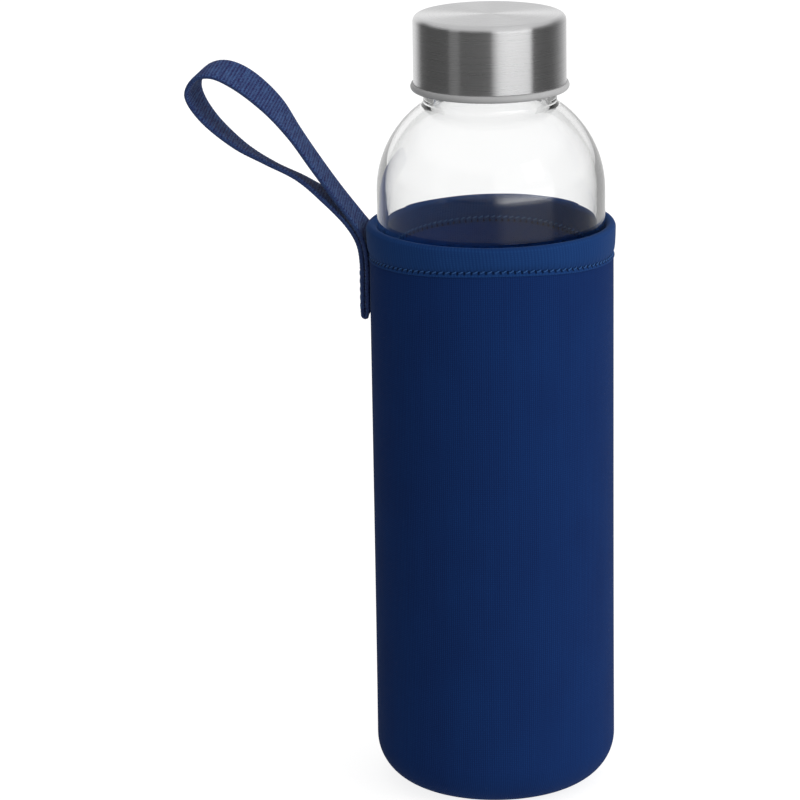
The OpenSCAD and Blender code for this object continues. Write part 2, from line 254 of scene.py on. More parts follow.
class Nodes:
    """Short names for building one material's node tree."""

    def __init__(self, name=None, world=None):
        self.material = world or bpy.data.materials.new(name)
        self.material.use_nodes = True
        self.tree = self.material.node_tree
        self.shader = self.tree.nodes.get("Principled BSDF")

    def new(self, kind, **settings):
        node = self.tree.nodes.new("ShaderNode" + kind)
        for key, value in settings.items():
            setattr(node, key, value)
        return node

    def link(self, source, target):
        self.tree.links.new(source, target)

    def put(self, socket, value):
        """Links value to the socket if it is a socket, else sets it."""
        if isinstance(value, bpy.types.NodeSocket):
            self.link(value, socket)
        else:
            socket.default_value = value

    def math(self, operation, a, b=0.0, c=0.0):
        node = self.new("Math", operation=operation)
        for socket, value in zip(node.inputs, (a, b, c)):
            self.put(socket, value)
        return node.outputs[0]

    def mix(self, factor, a, b):
        """Colour a where factor is 0 and b where it is 1. Each is a socket or three numbers."""
        node = self.new("Mix", data_type="RGBA")
        self.put(node.inputs["Factor"], factor)
        self.put(node.inputs[6], a if isinstance(a, bpy.types.NodeSocket) else (*a, 1))
        self.put(node.inputs[7], b if isinstance(b, bpy.types.NodeSocket) else (*b, 1))
        return node.outputs[2]

    def combine(self, x, y, z):
        node = self.new("CombineXYZ")
        for socket, value in zip(node.inputs, (x, y, z)):
            self.put(socket, value)
        return node.outputs[0]

    def noise(self, vector, scale, detail=2.0, rough=0.5):
        node = self.new("TexNoise")
        self.put(node.inputs["Vector"], vector)
        node.inputs["Scale"].default_value = scale
        node.inputs["Detail"].default_value = detail
        node.inputs["Roughness"].default_value = rough
        return node.outputs["Fac"]

    def weighed(self, *pairs):
        """Sum of values, each times its weight."""
        value, weight = pairs[0]
        if len(pairs) == 1:
            return self.math("MULTIPLY", value, weight)
        return self.math("MULTIPLY_ADD", value, weight, self.weighed(*pairs[1:]))

    def scaled(self, value, low, high):
        """Maps 0..1 to low..high, and holds at the ends."""
        node = self.new("MapRange")
        self.put(node.inputs["Value"], value)
        node.inputs["To Min"].default_value = low
        node.inputs["To Max"].default_value = high
        return node.outputs["Result"]

    def step(self, value, low, high):
        """0 at low and before it, 1 at high and after it, smooth between. low may be the greater number."""
        node = self.new("MapRange", interpolation_type="SMOOTHSTEP")
        self.put(node.inputs["Value"], value)
        node.inputs["From Min"].default_value = low
        node.inputs["From Max"].default_value = high
        return node.outputs["Result"]

    def position(self):
        """x, y and z on the resting piece, in millimetres."""
        split = self.new("SeparateXYZ")
        self.link(self.new("TexCoord").outputs["Object"], split.inputs[0])
        return [self.math("MULTIPLY", s, 1 / MM) for s in split.outputs]

    def polar(self, x, y):
        """Angle about Z, and distance from it."""
        square = self.math("ADD", self.math("MULTIPLY", x, x), self.math("MULTIPLY", y, y))
        return self.math("ARCTAN2", y, x), self.math("SQRT", square)

    def stretched(self, x, y, z, *scales):
        """The vector (x, y, z) with each part multiplied by its scale."""
        return self.combine(*(self.math("MULTIPLY", v, k) for v, k in zip((x, y, z), scales)))

    def bump(self, height, strength, distance_mm):
        node = self.new("Bump")
        node.inputs["Strength"].default_value = strength
        node.inputs["Distance"].default_value = distance_mm * MM
        self.put(node.inputs["Height"], height)
        return node.outputs[0]

    def wave(self, value, period):
        """A cosine of value with that period, from 0 to 1."""
        turned = self.math("COSINE", self.math("MULTIPLY", value, 2 * math.pi / period))
        return self.math("MULTIPLY_ADD", turned, 0.5, 0.5)

    def set(self, **values):
        for key, value in values.items():
            self.put(self.shader.inputs[key.replace("_", " ")], value)


def stitch_hole_dent_and_shade(n, angle, z):
    """1 at each needle hole, at the ends of the topstitches and just under the line of stitch_height().
    knit() dents the knit by it, and darkens the colour by it as painted shade inside each hole.
    """
    turn = n.math("SUBTRACT", angle, FRONT)
    swing = n.math("COSINE", n.math("MULTIPLY", turn, 2.0))
    ripple = n.math("SINE", n.math("MULTIPLY_ADD", turn, 5.0, 1.0))
    line = n.weighed((ripple, STITCH_RIPPLE), (swing, STITCH_SWING))
    off_line = n.math("ABSOLUTE", n.math("SUBTRACT", n.math("SUBTRACT", z, STITCH_Z), line))
    at_end = n.step(n.math("COSINE", n.math("MULTIPLY", angle, HEM_STITCHES)), 0.3, 0.9)
    return n.math("MULTIPLY", at_end, n.step(off_line, 0.6, 0.2))


def knit(name, dark, light, wale_mm, course_mm, sheen, lean=0.0, hole_dent_and_shade=False):
    """Fine ribbed knit on a round body: wales run up it, courses go round it."""
    n = Nodes(name)
    x, y, z = n.position()
    angle, radius = n.polar(x, y)
    around_mm = n.math("MULTIPLY_ADD", angle, SLEEVE_R, n.math("MULTIPLY", z, lean))
    wales = n.wave(around_mm, wale_mm)
    courses = n.wave(n.math("ADD", z, n.math("MULTIPLY", radius, 0.7)), course_mm)
    loops = n.math("MULTIPLY", wales, n.scaled(courses, 0.3, 1.0))
    drawn_up = n.combine(n.math("MULTIPLY", around_mm, 1.1), 0.0, n.math("MULTIPLY", z, 0.02))
    streaks = n.noise(drawn_up, 1.0, 3.0)
    cloudy = n.noise(n.stretched(x, y, z, 0.06, 0.06, 0.05), 1.0, 3.0)
    fuzz = n.noise(n.combine(x, y, z), 5.0, 3.0, 0.7)
    tone = n.weighed((loops, 0.5), (streaks, 0.2), (cloudy, 0.3))
    colour = n.mix(n.scaled(tone, 0.0, 1.05), dark, light)
    colour = n.mix(0.25, colour, n.mix(fuzz, dark, light))
    height = n.math("MULTIPLY_ADD", fuzz, 0.35, loops)
    # Painted shade: at each needle hole of the topstitching the colour goes near black, standing in for the
    # shade inside it; the height is dented there too.
    if hole_dent_and_shade:
        dent_and_painted_shade = stitch_hole_dent_and_shade(n, angle, z)
        colour = n.mix(n.math("MULTIPLY", dent_and_painted_shade, 0.8), colour, (0.002, 0.005, 0.02))
        height = n.math("SUBTRACT", height, n.math("MULTIPLY", dent_and_painted_shade, 3.0))
    n.set(Base_Color=colour, Roughness=n.scaled(fuzz, 0.78, 0.95), Normal=n.bump(height, 0.55, 0.06))
    n.set(Sheen_Weight=sheen, Sheen_Roughness=0.35, Sheen_Tint=(0.7, 0.85, 1.0, 1), Specular_IOR_Level=0.03)
    return n.material


def thread_cloth(name, dark, light):
    """Sewing thread: fine fibres and a soft sheen."""
    n = Nodes(name)
    fibres = n.noise(n.combine(*n.position()), 7.0, 4.0, 0.7)
    n.set(Base_Color=n.mix(fibres, dark, light), Roughness=n.scaled(fibres, 0.45, 0.75))
    n.set(Normal=n.bump(fibres, 0.4, 0.05), Sheen_Weight=0.05, Specular_IOR_Level=0.1)
    return n.material


def foam(name):
    """Closed-cell foam, seen only at raw edges."""
    n = Nodes(name)
    voronoi = n.new("TexVoronoi")
    n.link(n.combine(*n.position()), voronoi.inputs["Vector"])
    voronoi.inputs["Scale"].default_value = 6.0
    cells = voronoi.outputs["Distance"]
    n.set(Base_Color=n.mix(cells, (0.012, 0.014, 0.02), (0.03, 0.034, 0.045)), Roughness=0.9)
    n.set(Normal=n.bump(cells, 0.6, 0.08))
    return n.material


def webbing(name):
    """Ribbed webbing. The map's u runs across the strap and v along it, both in millimetres."""
    n = Nodes(name)
    split = n.new("SeparateXYZ")
    n.link(n.new("UVMap", uv_map="weave").outputs[0], split.inputs[0])
    u, v = split.outputs[:2]
    leaning = n.math("MULTIPLY_ADD", u, -0.13, v)
    ribs = n.wave(leaning, 0.92)
    lines = n.wave(u, 0.74)
    weave = n.math("MULTIPLY", ribs, n.scaled(lines, 0.35, 1.0))
    along = n.noise(n.combine(n.math("MULTIPLY", u, 2.2), n.math("MULTIPLY", v, 0.08), 0.0), 1.0)
    across = n.noise(n.combine(n.math("MULTIPLY", u, 0.1), n.math("MULTIPLY", leaning, 0.9), 0.0), 1.0)
    fuzz = n.noise(n.combine(u, v, 0.0), 6.0, 4.0, 0.7)
    mottle = n.noise(n.combine(n.math("MULTIPLY", u, 2.4), n.math("MULTIPLY", v, 1.3), 0.0), 1.0)
    specks = n.step(mottle, 0.42, 0.66)
    tone = n.weighed((specks, 0.4), (weave, 0.45), (along, 0.3), (across, 0.7))
    colour = n.mix(n.scaled(tone, -1.1, 0.85), (0.012, 0.007, 0.07), (0.054, 0.112, 0.27))
    colour = n.mix(n.math("MULTIPLY", fuzz, 0.2), colour, (0.08, 0.13, 0.24))
    height = n.weighed((fuzz, 0.3), (weave, 0.8), (ribs, 0.2))
    n.set(Base_Color=colour, Roughness=n.scaled(fuzz, 0.6, 0.85), Normal=n.bump(height, 0.7, 0.12))
    n.set(Specular_IOR_Level=0.03)
    return n.material


def clear_glass(name):
    """Moulded bottle glass: clear, with the faint ripple of its surface."""
    n = Nodes(name)
    ripple = n.noise(n.stretched(*n.position(), 0.05, 0.05, 0.03), 1.0, 1.0)
    tint = n.mix(ripple, (0.968, 0.97, 0.969), (0.985, 0.987, 0.986))
    n.set(Base_Color=tint, Roughness=0.0, IOR=1.5, Transmission_Weight=1.0, Specular_IOR_Level=0.2)
    n.set(Normal=n.bump(ripple, 0.15, 0.25))
    # Light from lamps and from cloth goes straight through, so that the sleeve's inside is lit
    rays = n.new("LightPath").outputs
    through = n.math("MAXIMUM", rays["Is Shadow Ray"], rays["Is Diffuse Ray"])
    see_through = n.new("BsdfTransparent")
    see_through.inputs["Color"].default_value = (0.93, 0.94, 0.94, 1)
    blend = n.new("MixShader")
    n.link(through, blend.inputs[0])
    n.link(n.shader.outputs[0], blend.inputs[1])
    n.link(see_through.outputs[0], blend.inputs[2])
    n.link(blend.outputs[0], n.tree.nodes["Material Output"].inputs["Surface"])
    return n.material


def brushed_steel(name):
    """Steel brushed round its side and in circles on its top, so that glints spread across the brushing."""
    n = Nodes(name)
    x, y, z = n.position()
    angle, radius = n.polar(x, y)
    across = n.math("ADD", z, radius)
    turn = n.stretched(n.math("COSINE", angle), n.math("SINE", angle), across, 1.2, 1.2, 7.0)
    fine = n.noise(turn, 1.0, 3.0, 0.6)
    broad = n.noise(turn, 0.3)
    lines = n.weighed((fine, 0.65), (broad, 0.35))
    colour = n.mix(lines, (0.50, 0.50, 0.505), (0.74, 0.74, 0.745))
    tangent = n.new("Tangent", direction_type="RADIAL", axis="Z").outputs[0]
    n.set(Base_Color=colour, Roughness=n.scaled(lines, 0.24, 0.32), Metallic=1.0, Tangent=tangent)
    n.set(Anisotropic=1.0, Anisotropic_Rotation=0.25, Normal=n.bump(lines, 0.1, 0.02))
    return n.material


def satin_plastic(name, dark, light):
    """Moulded plastic with a fine spark-eroded grain."""
    n = Nodes(name)
    spot = n.combine(*n.position())
    grain = n.noise(spot, 4.0, 3.0, 0.6)
    broad = n.noise(spot, 0.12)
    n.set(Base_Color=n.mix(n.weighed((grain, 0.4), (broad, 0.6)), dark, light))
    n.set(Roughness=n.scaled(grain, 0.32, 0.5), Normal=n.bump(grain, 0.2, 0.02))
    return n.material


def silicone(name):
    """Milky seal rubber."""
    n = Nodes(name)
    grain = n.noise(n.combine(*n.position()), 1.5, 3.0, 0.6)
    n.set(Base_Color=n.mix(grain, (0.66, 0.66, 0.64), (0.78, 0.78, 0.77)), Subsurface_Weight=0.2)
    n.set(Roughness=n.scaled(grain, 0.4, 0.6), Normal=n.bump(grain, 0.15, 0.05))
    return n.material


KNIT = knit("sleeve_knit", (0.005, 0.009, 0.052), (0.008, 0.043, 0.172), 0.62, 0.56, 0.03)
# The binding's knit, with painted shade darkening each needle hole of its topstitching.
BINDING = knit(
    "binding_knit", (0.006, 0.023, 0.1), (0.014, 0.059, 0.198), 0.93, 0.6, 0.08, lean=0.1, hole_dent_and_shade=True)
# Partly painted light: the lining's own navy knit, coloured lighter than the face knit to make up for the
# shade inside the sleeve.
LINING = knit("sleeve_lining", (0.005, 0.022, 0.11), (0.011, 0.053, 0.25), 0.62, 0.56, 0.05)
THREAD = thread_cloth("sewing_thread", (0.014, 0.06, 0.2), (0.038, 0.12, 0.32))
FOAM = foam("neoprene_foam")
WEBBING = webbing("webbing")
GLASS = clear_glass("clear_glass")
STEEL = brushed_steel("cap_steel")
PLASTIC = satin_plastic("insert_plastic", (0.36, 0.36, 0.365), (0.5, 0.5, 0.5))
SILICONE = silicone("seal_silicone")


def place(obj, material, body, slot, *nodes):
    """Gives a piece its material and body, and hides the CAD nodes that it stands for. slot is not used."""
    obj.data.materials.append(material)
    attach(obj, body)
    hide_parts(*nodes)


# ---------------------------------------------------------------- sleeve

RIM_STEPS = 11


def stitch_height(angle):
    """Height of the hem's topstitching, which wanders a little round the sleeve."""
    turn = angle - FRONT
    return STITCH_Z + 0.2 + STITCH_SWING * np.cos(2 * turn) + STITCH_RIPPLE * np.sin(5 * turn + 1.0)


def sleeve_shape(angle, r, z):
    """The soft sleeve's departures from round: a wavy rim, a wandering seam, puckers and the side seam."""
    turn = angle - FRONT
    near_stitch = np.exp(-((z - STITCH_Z) / 3.2) ** 2)
    rise = near_stitch * (stitch_height(angle) - STITCH_Z)
    rim = 0.22 * np.sin(2 * turn + 2.2) + 0.15 * np.sin(3 * turn - 0.6)
    rim *= smoothstep(STITCH_Z + 1, RIM_Z - 1, z)
    outside = smoothstep(SLEEVE_R - WALL_T, SLEEVE_R, r)
    pucker = 0.07 * np.cos(HEM_STITCHES * angle) * np.exp(-((z - STITCH_Z - 0.5) / 1.3) ** 2)
    swell = smoothstep(STITCH_Z + 0.5, STITCH_Z + 3, z)
    hem = swell * (0.10 * np.sin(3 * turn + 0.5) + 0.06 * np.sin(8 * turn) + 0.04 * np.sin(13 * turn + 2))
    slack = smoothstep(8, 30, z) * (1 - swell) * 0.05 * np.sin(2 * turn + z / 37)
    side = np.angle(np.exp(1j * (angle - math.pi))) * SLEEVE_R
    upright = smoothstep(3, 14, z) * (1 - smoothstep(RIM_Z - 3, RIM_Z, z))
    seam = -0.32 * np.exp(-(side / 0.45) ** 2) * upright
    return r + outside * (pucker + hem + slack + seam), z + rise + rim


def wall_path(top):
    """Outer line of the sleeve's wall, from the seam of its base up to that height."""
    path = [(SEAM_R, SEAM_DEPTH), (SEAM_R + SEAM_HALF_W * 0.45, SEAM_DEPTH * 0.3), (SEAM_R + SEAM_HALF_W, 0)]
    path += arc((CORNER_POS, CORNER_R), CORNER_R, 270, 360, 24)
    return path + [(SLEEVE_R, top)]


def hem_side():
    """Outer line of the binding from its lower edge, through the stitched groove, to the roll."""
    offsets = [
        (0.05, -1.15), (0.22, -1.05), (0.26, -0.8), (0.16, -0.5), (-0.08, -0.25), (-GROOVE, 0),
        (-0.22, 0.3), (0.0, 0.7), (0.24, 1.2), (0.45, 1.9), (0.6, 2.8), (0.7, 4.2),
    ]
    return [(SLEEVE_R + out, STITCH_Z + up) for out, up in offsets]


def binding_path():
    """Outer line of the binding, over the roll and down inside past the bobbin row."""
    path = hem_side() + arc((HEM_R, RIM_Z - HEM_W / 2), HEM_W / 2, 0, 180, 2 * RIM_STEPS)
    inside = [(0, 1.6), (0.1, 0.8), (0, 0.2), (0, -0.6)]
    return path + [(HEM_R - HEM_W / 2 + out, STITCH_Z + up) for out, up in inside]


def make_sleeve():
    """Face knit, foam and lining, all cut from one skin, and the binding over their rim."""
    wall = subdivide(wall_path(BINDING_Z - 0.7) + [(SLEEVE_R - 0.03, BINDING_Z - 0.3)], 3.0)
    inner_wall = subdivide(inset(wall_path(BINDING_Z - 0.8), WALL_T), 3.0)
    skin = wall + inset(binding_path(), BINDING_T) + inner_wall[::-1]
    rim = len(wall) + len(hem_side()) + RIM_STEPS
    under_knit, under_lining = inset(skin, KNIT_T), inset(skin, LINING_T)
    outer = skin[:rim + 1] + under_knit[rim::-1]
    knit_sleeve = revolve("knit_sleeve", outer, SEGMENTS, sleeve_shape, sharp_angle=50)
    place(knit_sleeve, KNIT, "sleeve", "sleeve_knit", "sleeve_outer_knit")
    core = inset(skin, KNIT_T + 0.01)[:rim + 1] + inset(skin, LINING_T + 0.01)[rim:]
    foam_core = revolve("foam_core", core, HIDDEN_SEGMENTS, sleeve_shape)
    place(foam_core, FOAM, "sleeve", "neoprene_foam", "sleeve_foam")
    lining = revolve("knit_lining", skin[rim:] + under_lining[:rim - 1:-1], HIDDEN_SEGMENTS, sleeve_shape)
    place(lining, LINING, "sleeve", "lining_knit", "sleeve_lining")
    strip = layer(subdivide(binding_path(), 1.2), 0, BINDING_T)
    binding = revolve("knit_binding", strip, SEGMENTS, sleeve_shape, sharp_angle=50)
    place(binding, BINDING, "sleeve", "binding_knit", "hem_binding")


def make_base():
    """The three discs inside the base seam."""
    edge = SEAM_R - SEAM_GAP
    path = [(0, 0), (edge * 0.5, 0), (edge - SEAM_HALF_W, 0)]
    path += [(edge - SEAM_HALF_W * 0.45, SEAM_DEPTH * 0.3), (edge, SEAM_DEPTH)]
    layers = [
        ("base_knit", 0, KNIT_T, KNIT, "sleeve_knit", "base_outer_knit"),
        ("base_foam_disc", KNIT_T, KNIT_T + FOAM_T, FOAM, "neoprene_foam", "base_foam"),
        ("base_lining_disc", KNIT_T + FOAM_T, WALL_T, LINING, "lining_knit", "base_lining"),
    ]
    for name, outer, inner, material, slot, node in layers:
        place(revolve(name, layer(path, outer, inner), BASE_SEGMENTS), material, "sleeve", slot, node)


def make_hem_stitches():
    """Topstitches outside, and the bobbin thread's row inside the rolled hem."""
    outer_r, inner_r, inner_rise = SLEEVE_R - 0.2, HEM_R - HEM_W / 2 + 0.04, 0.8
    stitches = []
    for k in range(HEM_STITCHES):
        angle = 2 * math.pi * (k + 0.5) / HEM_STITCHES
        height = stitch_height(angle)
        out, along = around(angle)
        level, slope = along * math.cos(HEM_SLANT), UP * math.sin(HEM_SLANT)
        stitches.append((out * outer_r + UP * height, level + slope, out))
        stitches.append((out * inner_r + UP * (height + inner_rise), level - slope, -out))
    obj = sew("hem_stitches", stitches, HEM_STITCH_LEN, 0.19, 0.12)
    place(obj, THREAD, "sleeve", "sewing_thread", "hem_stitching")


def make_side_stitches():
    """Two rows up the side seam, behind the strap."""
    low, high = mm_box("side_seam_stitching")
    count = round((high[2] - low[2]) / SIDE_STITCH_PITCH + 0.5)
    stitches = []
    for side in (-1, 1):
        out = around(math.pi + side * SIDE_ROW_TURN)[0]
        for k in range(count):
            height = low[2] + SIDE_STITCH_LEN / 2 + k * SIDE_STITCH_PITCH
            stitches.append((out * (SLEEVE_R + 0.08) + UP * height, UP, out))
    obj = sew("side_seam_stitches", stitches, SIDE_STITCH_LEN, 0.2, 0.1)
    place(obj, THREAD, "sleeve", "sewing_thread", "side_seam_stitching")


def make_base_stitches():
    """Stitches across the seam of the base."""
    stitches = []
    for k in range(BASE_STITCHES):
        out = around(2 * math.pi * k / BASE_STITCHES)[0]
        stitches.append((out * (SEAM_R - SEAM_GAP / 2) + UP * (SEAM_DEPTH - 0.1), out, -UP))
    obj = sew("base_seam_stitches", stitches, 1.4, 0.2, 0.08)
    place(obj, THREAD, "sleeve", "sewing_thread", "base_seam_stitching")


# ---------------------------------------------------------------- strap

def spline(points, steps):
    """Catmull-Rom curve through rows of numbers."""
    p = np.array(points, float)
    p = np.vstack([2 * p[0] - p[1], p, 2 * p[-1] - p[-2]])
    rows = []
    for a, b, c, d in zip(p, p[1:], p[2:], p[3:]):
        for k in range(steps):
            t = k / steps
            curve = (2 * a - 5 * b + 4 * c - d) + t * (3 * b - 3 * c + d - a)
            rows.append(b + 0.5 * t * ((c - a) + t * curve))
    return np.array(rows + [p[-2]])


def even_steps(rows, step):
    """The same curve at even steps along its first two columns."""
    gaps = np.linalg.norm(np.diff(rows[:, :2], axis=0), axis=1)
    along = np.concatenate([[0], np.cumsum(gaps)])
    at = np.linspace(0, along[-1], round(along[-1] / step) + 1)
    return at, np.stack([np.interp(at, along, column) for column in rows.T], 1)


def strap_line():
    """The closed line of the webbing: up the inner ply, round the loop, down the outer ply, round the fold.

    Columns are distance from the axis, height, twist, and how far it follows the sleeve's curve.
    """
    inner_r = ANCHOR_R + STRAP_T / 2
    outer_r = ANCHOR_R + STRAP_T * 1.5
    fold_z = ANCHOR_BOTTOM + STRAP_T
    rows = [(inner_r, z, 0, 1) for z in (fold_z + 1, fold_z + 5, fold_z + 10, ANCHOR_TOP - 1.5)]
    for (rho, z), twist in zip(STRAP_ROUTE, STRAP_TWIST):
        rows.append((rho, z, twist, float(1 - smoothstep(ANCHOR_TOP, ANCHOR_TOP + 16, z))))
    rows += [(outer_r, z, 0, 1) for z in (ANCHOR_TOP - 1.5, fold_z + 10, fold_z + 5, fold_z + 1)]
    middle = (inner_r + outer_r) / 2
    rows += [(*p, 0, 1) for p in arc((middle, fold_z), STRAP_T / 2, 0, -180, 6)[1:-1]]
    return np.array(rows)


def strap_section():
    """Points round the webbing's flat section.

    For each: place across, half thickness with its sign, nearness to an edge, and first weave coordinate.
    """
    spread = math.pi / 2 * 0.93
    w = np.sin(np.linspace(-1, 1, STRAP_COLUMNS) * spread) / math.sin(spread) * STRAP_W / 2
    edge = np.abs(w) / (STRAP_W / 2)
    half_t = STRAP_T / 2 * np.sqrt(1 - 0.8 * edge ** 14)
    join = np.concatenate
    u = join([w, STRAP_W + STRAP_T - w[::-1]])
    return join([w, w[::-1]]), join([half_t, -half_t]), join([edge, edge]), u


def make_strap():
    """The webbing in one piece, from its sewn plies round the loop."""
    at, line = even_steps(spline(strap_line(), 14), 0.24)
    rho, z, twist, curved = line.T
    length = at[-1]
    tangent = np.gradient(line[:, :2], axis=0)
    tangent /= np.linalg.norm(tangent, axis=1)[:, None]
    normal = np.stack([-tangent[:, 1], tangent[:, 0]], 1)
    ring, ring_t, ring_edge, ring_u = strap_section()
    columns = len(ring)
    rib = RIB_H * np.cos(2 * math.pi * at / RIB_PITCH)
    thick = ring_t + rib[:, None] * np.sign(ring_t) * (1 - ring_edge ** 4)
    bend = curved[:, None] * ring / (ANCHOR_R + STRAP_T)
    turn = -np.radians(twist)[:, None]
    # Each point lies along Y, leans along the normal by the twist, and bows round the sleeve
    lean = np.sin(turn) * ring + np.cos(turn) * thick * np.cos(bend)
    side = np.cos(turn) * ring - np.sin(turn) * thick
    bow = -curved[:, None] * ring ** 2 / (2 * (ANCHOR_R + STRAP_T))
    out_x = -(rho[:, None] + normal[:, :1] * lean + bow)
    out_y = side + np.sin(bend) * thick * np.sign(normal[:, :1])
    out_z = z[:, None] + normal[:, 1:] * lean
    rows = len(at) - 1  # the last point of the closed line is the first again
    faces = grid_faces(rows, columns, True, True)
    mesh = bpy.data.meshes.new("webbing_strap")
    points = np.stack([out_x, out_y, out_z], -1)[:rows].reshape(-1, 3)
    mesh.from_pydata((points * MM).tolist(), [], faces)
    weave = mesh.uv_layers.new(name="weave").data
    for f, face in enumerate(faces):
        closing = face[0] // columns == rows - 1
        for corner, vertex in enumerate(face):
            row, column = divmod(vertex, columns)
            weave[4 * f + corner].uv = (ring_u[column], length if closing and row == 0 else at[row])
    strap = bpy.data.objects.new("webbing_strap", mesh)
    bpy.context.scene.collection.objects.link(strap)
    mesh.shade_smooth()
    mesh.materials.append(WEBBING)
    strap.visible_glossy = False
    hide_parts("strap_anchor", "strap_loop")
    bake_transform(strap)


def make_strap_stitches():
    """A box of stitches that holds the strap's two plies to the sleeve."""
    radius = ANCHOR_R + 2 * STRAP_T - 0.12
    margin = 2.4
    half_angle = math.asin((STRAP_W / 2 - margin) / radius)
    rows, columns = 5, 6
    pitch = (ANCHOR_TOP - ANCHOR_BOTTOM - 2 * margin) / rows
    stitches = []
    for side in (-1, 1):
        out = around(math.pi + side * half_angle)[0]
        for k in range(rows):
            stitches.append((out * radius + UP * (ANCHOR_BOTTOM + margin + (k + 0.5) * pitch), UP, out))
    for height in (ANCHOR_BOTTOM + margin, ANCHOR_TOP - margin):
        for k in range(columns):
            out, along = around(math.pi + half_angle * (2 * (k + 0.5) / columns - 1))
            stitches.append((out * radius + UP * height, along, out))
    obj = sew("strap_stitches", stitches, pitch * 0.8, 0.18, 0.06)
    place(obj, THREAD, "sleeve", "sewing_thread", "strap_stitching")


# ---------------------------------------------------------------- bottle

def shoulder(radius, neck, fillet):
    """The shoulder's arc and the fillet that leads into the neck."""
    rise = math.sqrt((radius + fillet) ** 2 - (neck + fillet - DOME_POS) ** 2)
    centre = (neck + fillet, SHOULDER_Z + rise)
    angle = math.degrees(math.atan2(rise, centre[0] - DOME_POS))
    dome = arc((DOME_POS, SHOULDER_Z), radius, 0, angle, 36)
    return dome + arc(centre, fillet, 180 + angle, 180, 10)[1:]


def ridge(angle, z, start):
    """Height from 0 to 1 of a helical thread ridge that starts at that height."""
    turn = np.mod(angle, 2 * math.pi) / (2 * math.pi)
    height = np.zeros_like(z)
    for lap in range(2):
        along = turn + lap
        centre = start + THREAD_PITCH * along
        profile = 1 - smoothstep(0.42, 0.98, np.abs(z - centre))
        fade = smoothstep(0, 0.1, along) * (1 - smoothstep(THREAD_TURNS - 0.1, THREAD_TURNS, along))
        height = np.maximum(height, profile * fade)
    return height


def make_bottle():
    """The hollow bottle, with the push-up of its base and the thread on its neck."""
    in_r = GLASS_R - GLASS_WALL
    in_heel = HEEL_R - GLASS_WALL
    floor_z = GLASS_BOTTOM + PUNT_RISE + GLASS_BASE
    punt_r = CORNER_POS - 2.5
    rises = PUNT_RISE * (1 - smoothstep(0, 1, np.linspace(0, 1, 12)))
    path = [(punt_r * t, GLASS_BOTTOM + rise) for t, rise in zip(np.linspace(0, 1, 12), rises)]
    path += arc((CORNER_POS, CORNER_R), HEEL_R, 270, 360, 20)
    path += shoulder(DOME_R, NECK_R, NECK_FILLET)
    path += [(NECK_R, z) for z in np.arange(202, 213.1, THREAD_STEP)]
    path += arc((NECK_R - LIP_EDGE, LIP_Z - LIP_EDGE), LIP_EDGE, 0, 90, 8)
    path += arc((BORE_R + LIP_EDGE, LIP_Z - LIP_EDGE), LIP_EDGE, 90, 180, 8)
    path += shoulder(DOME_R - GLASS_WALL, BORE_R, BORE_FILLET)[::-1]
    path += arc((in_r - in_heel, floor_z - 0.5 + in_heel), in_heel, 0, -80, 16)
    path += [(in_r * t, floor_z - 0.2 * t) for t in (0.5, 0.3, 0.1, 0)]

    def neck_thread(angle, r, z):
        on_neck = (np.abs(r - NECK_R) < 0.01) & (z > 201)
        return r + np.where(on_neck, THREAD_H * ridge(angle, z, THREAD_Z), 0), z

    path = subdivide(path, 12)
    bottle = revolve("glass_bottle", path, SMOOTH_SEGMENTS, neck_thread, closed=False, sharp_angle=60)
    place(bottle, GLASS, "bottle", "clear_glass", "bottle_glass")


# ---------------------------------------------------------------- cap

def make_cap():
    """The steel shell."""
    inner_r = CAP_R - CAP_WALL
    edge = (CAP_R - CAP_EDGE_R, CAP_TOP - CAP_EDGE_R)
    path = [(inner_r, CAP_BOTTOM), (CAP_R - 0.12, CAP_BOTTOM), (CAP_R, CAP_BOTTOM + 0.12)]
    path += arc(edge, CAP_EDGE_R, 0, 90, 16)
    path += [(12, CAP_TOP), (5, CAP_TOP), (0, CAP_TOP), (0, CAP_TOP - CAP_WALL)]
    path += arc((inner_r - CAP_EDGE_R, CAP_TOP - CAP_WALL - CAP_EDGE_R), CAP_EDGE_R, 90, 0, 8)
    place(revolve("steel_cap", path, SMOOTH_SEGMENTS, sharp_angle=35), STEEL, "cap", "cap_steel", "cap_shell")


def make_insert():
    """The plastic lining of the cap, with its flange below the shell and its thread inside."""
    inner_r = CAP_R - CAP_WALL - 0.01
    roof_z = CAP_TOP - CAP_WALL - 0.01
    ceiling_z = seal_high[2] + 0.06
    round_r = 1.1
    path = [(INSERT_ROOT_R, FLANGE_Z + 0.25), (INSERT_ROOT_R + 0.25, FLANGE_Z)]
    path += arc((FLANGE_R - round_r, FLANGE_Z + round_r), round_r, 270, 370, 10)
    path += [(FLANGE_R - 0.25, CAP_BOTTOM - 0.12), (FLANGE_R - 0.42, CAP_BOTTOM), (inner_r, CAP_BOTTOM)]
    path += arc((inner_r - CAP_EDGE_R, roof_z - CAP_EDGE_R), CAP_EDGE_R, 0, 90, 8)
    path += [(0, roof_z), (0, ceiling_z), (INSERT_ROOT_R, ceiling_z)]
    path += [(INSERT_ROOT_R, z) for z in np.arange(211, FLANGE_Z + 0.4, -THREAD_STEP)]

    def inner_thread(angle, r, z):
        on_wall = np.abs(r - INSERT_ROOT_R) < 0.01
        inward = THREAD_H * ridge(angle, z, THREAD_Z - THREAD_PITCH / 2)
        return r - np.where(on_wall, inward, 0), z

    insert = revolve("cap_inner", path, SMOOTH_SEGMENTS, inner_thread)
    place(insert, PLASTIC, "cap", "insert_plastic", "cap_insert")


